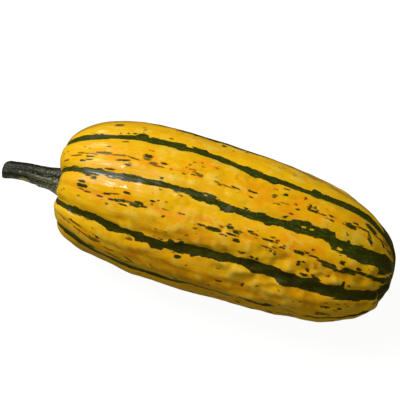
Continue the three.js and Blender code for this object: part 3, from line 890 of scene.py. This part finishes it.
def orange_mask(t, crown, streaks, mottle, spots, span):
    """Where yellow turns orange: on crowns and creases, round flecks, and in patches."""
    share = t.attribute("share")
    halo = t.times(t.ramp(span, 2.2, 0.9), t.ramp(mottle, 0.35, 0.6))
    warm = t.times(t.ramp(t.plus(streaks, mottle), 0.9, 1.25), crown)
    warm = t.plus(t.times(warm, 0.6), t.times(halo, 0.35))
    warm = t.plus(warm, t.times(t.attribute("crease"), t.ramp(streaks, 0.4, 0.7)), clamp=True)
    # Less of all that towards the ends of the fruit.
    warm = t.times(warm, t.ramp(share, 0.08, 0.24))
    warm = t.times(warm, t.ramp(share, 0.95, 0.76))
    patch = t.plus(t.attribute("orange"), t.shift(mottle, 1.6))
    warm = t.math("MAXIMUM", warm, t.times(t.ramp(patch, 0.25, 0.8), 0.8))
    return t.plus(warm, t.times(t.ramp(spots, 0.53, 0.68), 0.4), clamp=True)


def yellow_skin(t, skin, bent, streaks, edge, span):
    """The colour of the skin between the dark marks."""
    share = t.attribute("share")
    crown = t.attribute("crown")
    broad = t.noise(skin, pitch=26, detail=2, stretch=0.5)
    mottle = t.noise(skin, pitch=5, detail=3, stretch=0.6)
    spots = t.noise(skin, pitch=2.6, detail=3, stretch=0.6)
    grain = t.noise(skin, pitch=1.5, detail=3, stretch=0.7)
    # Lemon in broad patches, most of it near the ends.
    ends = t.math("MAXIMUM", t.ramp(share, 0.3, 0.1), t.ramp(share, 0.7, 0.85))
    lemon = t.minus(broad, t.times(share, 0.15))
    lemon = t.plus(lemon, t.plus(t.times(ends, 0.12), t.shift(grain, 0.25)))
    colour = t.mix(t.ramp(lemon, 0.3, 0.52), YELLOW, LEMON)
    warm = orange_mask(t, crown, streaks, mottle, spots, span)
    colour = t.over(colour, warm, 0.75, ORANGE)
    # Painted shade deepens the colour between the lumps and a painted highlight makes it paler on them; it
    # is also paler beside the stripes.
    raised = t.plus(t.times(t.attribute("lumps"), 0.4), t.shift(grain, 1.5))
    raised = t.plus(raised, t.shift(mottle, 1.6))
    deep_and_shaded = t.minus(t.attribute("mustard_and_shade"), t.times(raised, 0.6))
    colour = t.over(colour, t.ramp(deep_and_shaded, 0.2, 1.1), 0.75, MUSTARD_AND_SHADE)
    pale_and_sheen = t.plus(t.times(t.attribute("pale_and_sheen"), 0.9), raised)
    pale_and_sheen = t.minus(pale_and_sheen, t.shift(spots, 1.2))
    colour = t.over(colour, t.ramp(pale_and_sheen, 0.2, 0.9), 0.65, CREAM_AND_SHEEN)
    beside = t.times(t.ramp(edge, 1.1, 0.1), t.ramp(mottle, 0.4, 0.6))
    colour = t.over(colour, beside, 0.25, CREAM_AND_SHEEN)
    # Small brown specks, most of them along the crowns.
    chance = t.parts(t.cells(bent, 1, (0.6, 1, 1)))[0]
    freckle = t.math("GREATER_THAN", t.times(crown, FRECKLE_ODDS), chance)
    return t.over(colour, freckle, 0.65, BROWN)


def green_skin(t, skin, streaks):
    """Dark green with paler dots and fibres, browner on the -Y side and in the cap."""
    fibres = t.noise(skin, pitch=0.9, detail=3, stretch=0.2)
    dots = t.noise(skin, pitch=0.8, detail=2, stretch=0.8)
    green = t.mix(t.ramp(t.plus(fibres, dots), 0.95, 1.25), GREEN, LIGHT_GREEN)
    green = t.over(green, t.ramp(t.parts(skin)[2], -16, -36), 0.35, FRONT_GREEN)
    cap = t.times(t.ramp(t.attribute("share"), 0.88, 0.95), t.ramp(streaks, 0.35, 0.6))
    return t.mix(cap, green, CAP_BROWN)


def rind_relief(t, skin):
    """The height of the fine relief, and the roughness."""
    lines = t.noise(skin, pitch=1.5, detail=2, stretch=0.08)
    dents = t.noise(skin, pitch=1.6, detail=3, roughness=0.6)
    bumps = t.noise(skin, pitch=4, detail=2, stretch=0.3)
    height = t.plus(t.times(dents, 0.09), t.times(bumps, 0.5))
    height = t.plus(height, t.times(lines, 0.4))
    return height, t.minus(0.42, t.times(t.ramp(lines, 0.44, 0.62), 0.32))


def rind_material():
    """Yellow, then the dark stripes, then the flecks."""
    t = Tree("rind")
    skin = t.attribute("skin", "Vector")
    fine = t.noise(skin, pitch=0.7, detail=1)
    bent = t.shaken(skin, t.noise(skin, pitch=3, detail=2, output="Color"), (1.6, 0.7, 0.7))
    streaks = t.noise(skin, pitch=2.2, detail=3, stretch=0.22)
    edge, dark = stripe_masks(t, skin, bent, fine)
    span, in_fleck, tint = fleck_masks(t, bent, fine)
    green = green_skin(t, skin, streaks)
    colour = t.mix(dark, yellow_skin(t, skin, bent, streaks, edge, span), green)
    # A fleck's tint is its place in FLECKS.
    paint = green
    for number, shade in enumerate((OLIVE, BROWN, LEMON)):
        paint = t.mix(t.math("GREATER_THAN", tint, number + 0.5), paint, shade)
    colour = t.mix(in_fleck, colour, paint)
    # Painted shade: the +Y side of the skin is darkened where it turns away from the eye.
    facing = t.add("ShaderNodeLayerWeight", {"Blend": 0.5}).outputs["Facing"]
    turned = t.times(t.ramp(facing, 0.6, 0.9), t.ramp(t.parts(skin)[2], 0, 20))
    colour = t.over(colour, turned, 0.6, PAINTED_EDGE_SHADE, "MULTIPLY")
    height, roughness = rind_relief(t, skin)
    return t.finish(colour, roughness, specular=0.3, Normal=t.bump(height, 0.4 * MM))


# Colours of the stem.
STEM_DARK = (0.006, 0.0065, 0.004)
STEM_GREY = (0.055, 0.058, 0.05)
ROOT_GREY = (0.185, 0.19, 0.135)
# Painted fill light on the stem's -Y side.
PAINTED_FILL_GREY = (0.2, 0.205, 0.16)
# A painted sheen on top of the stem.
PAINTED_SHEEN_GREY = (0.16, 0.163, 0.18)
SPECKLE_GREY = (0.3, 0.3, 0.24)
# Painted shade along the stem's edges.
PAINTED_SHADE_BLACK = (0.003, 0.003, 0.001)
PIT_BLACK = (0.004, 0.0045, 0.0015)
SCAR_CREAM = (0.3, 0.28, 0.11)
CUT_GREY = (0.09, 0.085, 0.06)


def stem_material():
    """Dark and fibrous and greyer at the root, with painted fill light on the -Y side, a painted sheen on
    top near the tip, and painted shade between the ridges and along the edges.
    """
    t = Tree("stem_skin")
    skin = t.attribute("skin", "Vector")
    share = t.attribute("share")
    _, sideways, upward = t.parts(skin)
    streaks = t.noise(skin, pitch=0.7, detail=3, stretch=0.1)
    speckle = t.noise(skin, pitch=0.55, detail=2, stretch=0.6)
    # Painted shade: darker between the ridges, where the ridge attribute is low; the streaks are the fibres'
    # own colour.
    ridge_shade_and_streaks = t.plus(t.times(t.attribute("ridge"), 0.35), streaks)
    colour = t.mix(t.ramp(ridge_shade_and_streaks, 0.3, 0.95), STEM_DARK, STEM_GREY)
    root = t.times(t.ramp(share, 0.75, 0.25), t.ramp(upward, 5.2, 3.2))
    colour = t.over(colour, root, t.ramp(ridge_shade_and_streaks, 0.2, 0.8), ROOT_GREY)
    # Painted fill light: the -Y side is greyer, more so at the root.
    side = t.times(t.ramp(sideways, 2.6, 4), t.plus(0.22, t.times(root, 0.25)))
    colour = t.mix(side, colour, PAINTED_FILL_GREY)
    # Painted sheen: greyer on top near the tip.
    painted_sheen = t.times(t.ramp(upward, 3.7, 4.4), t.ramp(share, 0.5, 0.8))
    colour = t.over(colour, painted_sheen, 0.25, PAINTED_SHEEN_GREY)
    speckled = t.plus(0.15, t.times(t.ramp(share, 0.75, 0.4), 0.45))
    colour = t.over(colour, t.ramp(speckle, 0.52, 0.64), speckled, SPECKLE_GREY)
    # Painted shade: near black along the stem's upper and lower edges.
    colour = t.over(colour, t.attribute("groove"), 0.95, PAINTED_SHADE_BLACK)
    colour = t.over(colour, t.ramp(speckle, 0.46, 0.36), 0.7, PIT_BLACK)
    scar = t.ramp(t.plus(t.attribute("scar"), t.shift(speckle, 1.3)), 0.35, 0.75)
    colour = t.over(colour, scar, 0.75, SCAR_CREAM)
    colour = t.mix(t.attribute("cut"), colour, CUT_GREY)
    height = t.plus(streaks, t.times(speckle, 0.4))
    return t.finish(colour, roughness=0.7, specular=0.15, Normal=t.bump(height, 0.45 * MM))


# Wide lamps light the colours, and strips make the highlights: (name, way towards the lamp,
# distance and size in metres, watts, what it lights).
LAMPS = (
    ("key", (-0.5, 0.02, 0.865), 1.1, (0.6, 0.6), 12, "colours"),
    ("strip", (-0.66, -0.13, 0.75), 1.05, (0.05, 0.72), 6.5, "highlights"),
    ("rim_strip", (-0.66, 0.56, 0.5), 1.05, (0.08, 0.5), 0.9, "highlights"),
    ("fill", (0.1, -1, 0.25), 1.2, (1, 0.5), 0.8, "colours"),
)
CAMERA_AZIMUTH = math.radians(20.6)
CAMERA_ELEVATION = math.radians(58)
CAMERA_OFFSET = (7.5, 5.3, 613)  # mm to the right, up and back from the fruit's own origin


def floor_material():
    """A matte pale grey that glows, so that it comes out even."""
    glow = {"Emission Color": (1, 1, 1, 1), "Emission Strength": 0.95}
    return Tree("floor_white").finish((0.12, 0.12, 0.12, 1), roughness=0.9, specular=0, **glow)


def add_floor():
    """The floor, which throws no light of its own on the fruit."""
    bpy.ops.mesh.primitive_plane_add(size=8)
    floor = bpy.context.object
    floor.name = "floor"
    floor.data.materials.append(floor_material())
    floor.visible_diffuse = False
    floor.visible_glossy = False


def add_world():
    world = bpy.data.worlds.new("studio")
    world.use_nodes = True
    background = world.node_tree.nodes["Background"]
    background.inputs["Color"].default_value = (1, 0.94, 0.25, 1)
    background.inputs["Strength"].default_value = 0.17
    bpy.context.scene.world = world


def softbox(centre, name, towards, distance, size, power, lights):
    """A rectangular lamp that faces the centre."""
    lamp = bpy.data.lights.new(name, "AREA")
    lamp.shape = "RECTANGLE"
    lamp.size, lamp.size_y = size
    lamp.energy = power
    holder = bpy.data.objects.new(name, lamp)
    direction = Vector(towards).normalized()
    holder.location = centre + direction * distance
    holder.rotation_euler = direction.to_track_quat("Z", "Y").to_euler()
    holder.visible_camera = False
    holder.visible_diffuse = lights == "colours"
    holder.visible_glossy = lights == "highlights"
    bpy.context.scene.collection.objects.link(holder)


def add_camera(centre):
    """The camera looks down on the -Y side, from a little towards the blossom end."""
    lens = bpy.data.cameras.new("camera")
    lens.lens = 100
    lens.sensor_width = 36
    lens.clip_start = 0.01
    camera = bpy.data.objects.new("camera", lens)
    tilt = Matrix.Rotation(math.pi / 2 - CAMERA_ELEVATION, 3, "X")
    turned = Matrix.Rotation(CAMERA_AZIMUTH, 3, "Z") @ tilt
    place = centre + turned @ Vector(CAMERA_OFFSET) * MM
    camera.matrix_world = Matrix.Translation(place) @ turned.to_4x4()
    bpy.context.scene.collection.objects.link(camera)
    bpy.context.scene.camera = camera


offset = frame_offset()
fruit = make_fruit(offset)
fruit.data.materials.append(rind_material())
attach(fruit, "root")
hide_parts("fruit")

stem = make_stem(offset)
stem.data.materials.append(stem_material())
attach(stem, "root")
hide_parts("stem")

fruit_centre = Vector(offset * MM)
add_floor()
add_world()
for lamp in LAMPS:
    softbox(fruit_centre, *lamp)
add_camera(fruit_centre)
bpy.context.scene.view_settings.view_transform = "Standard"
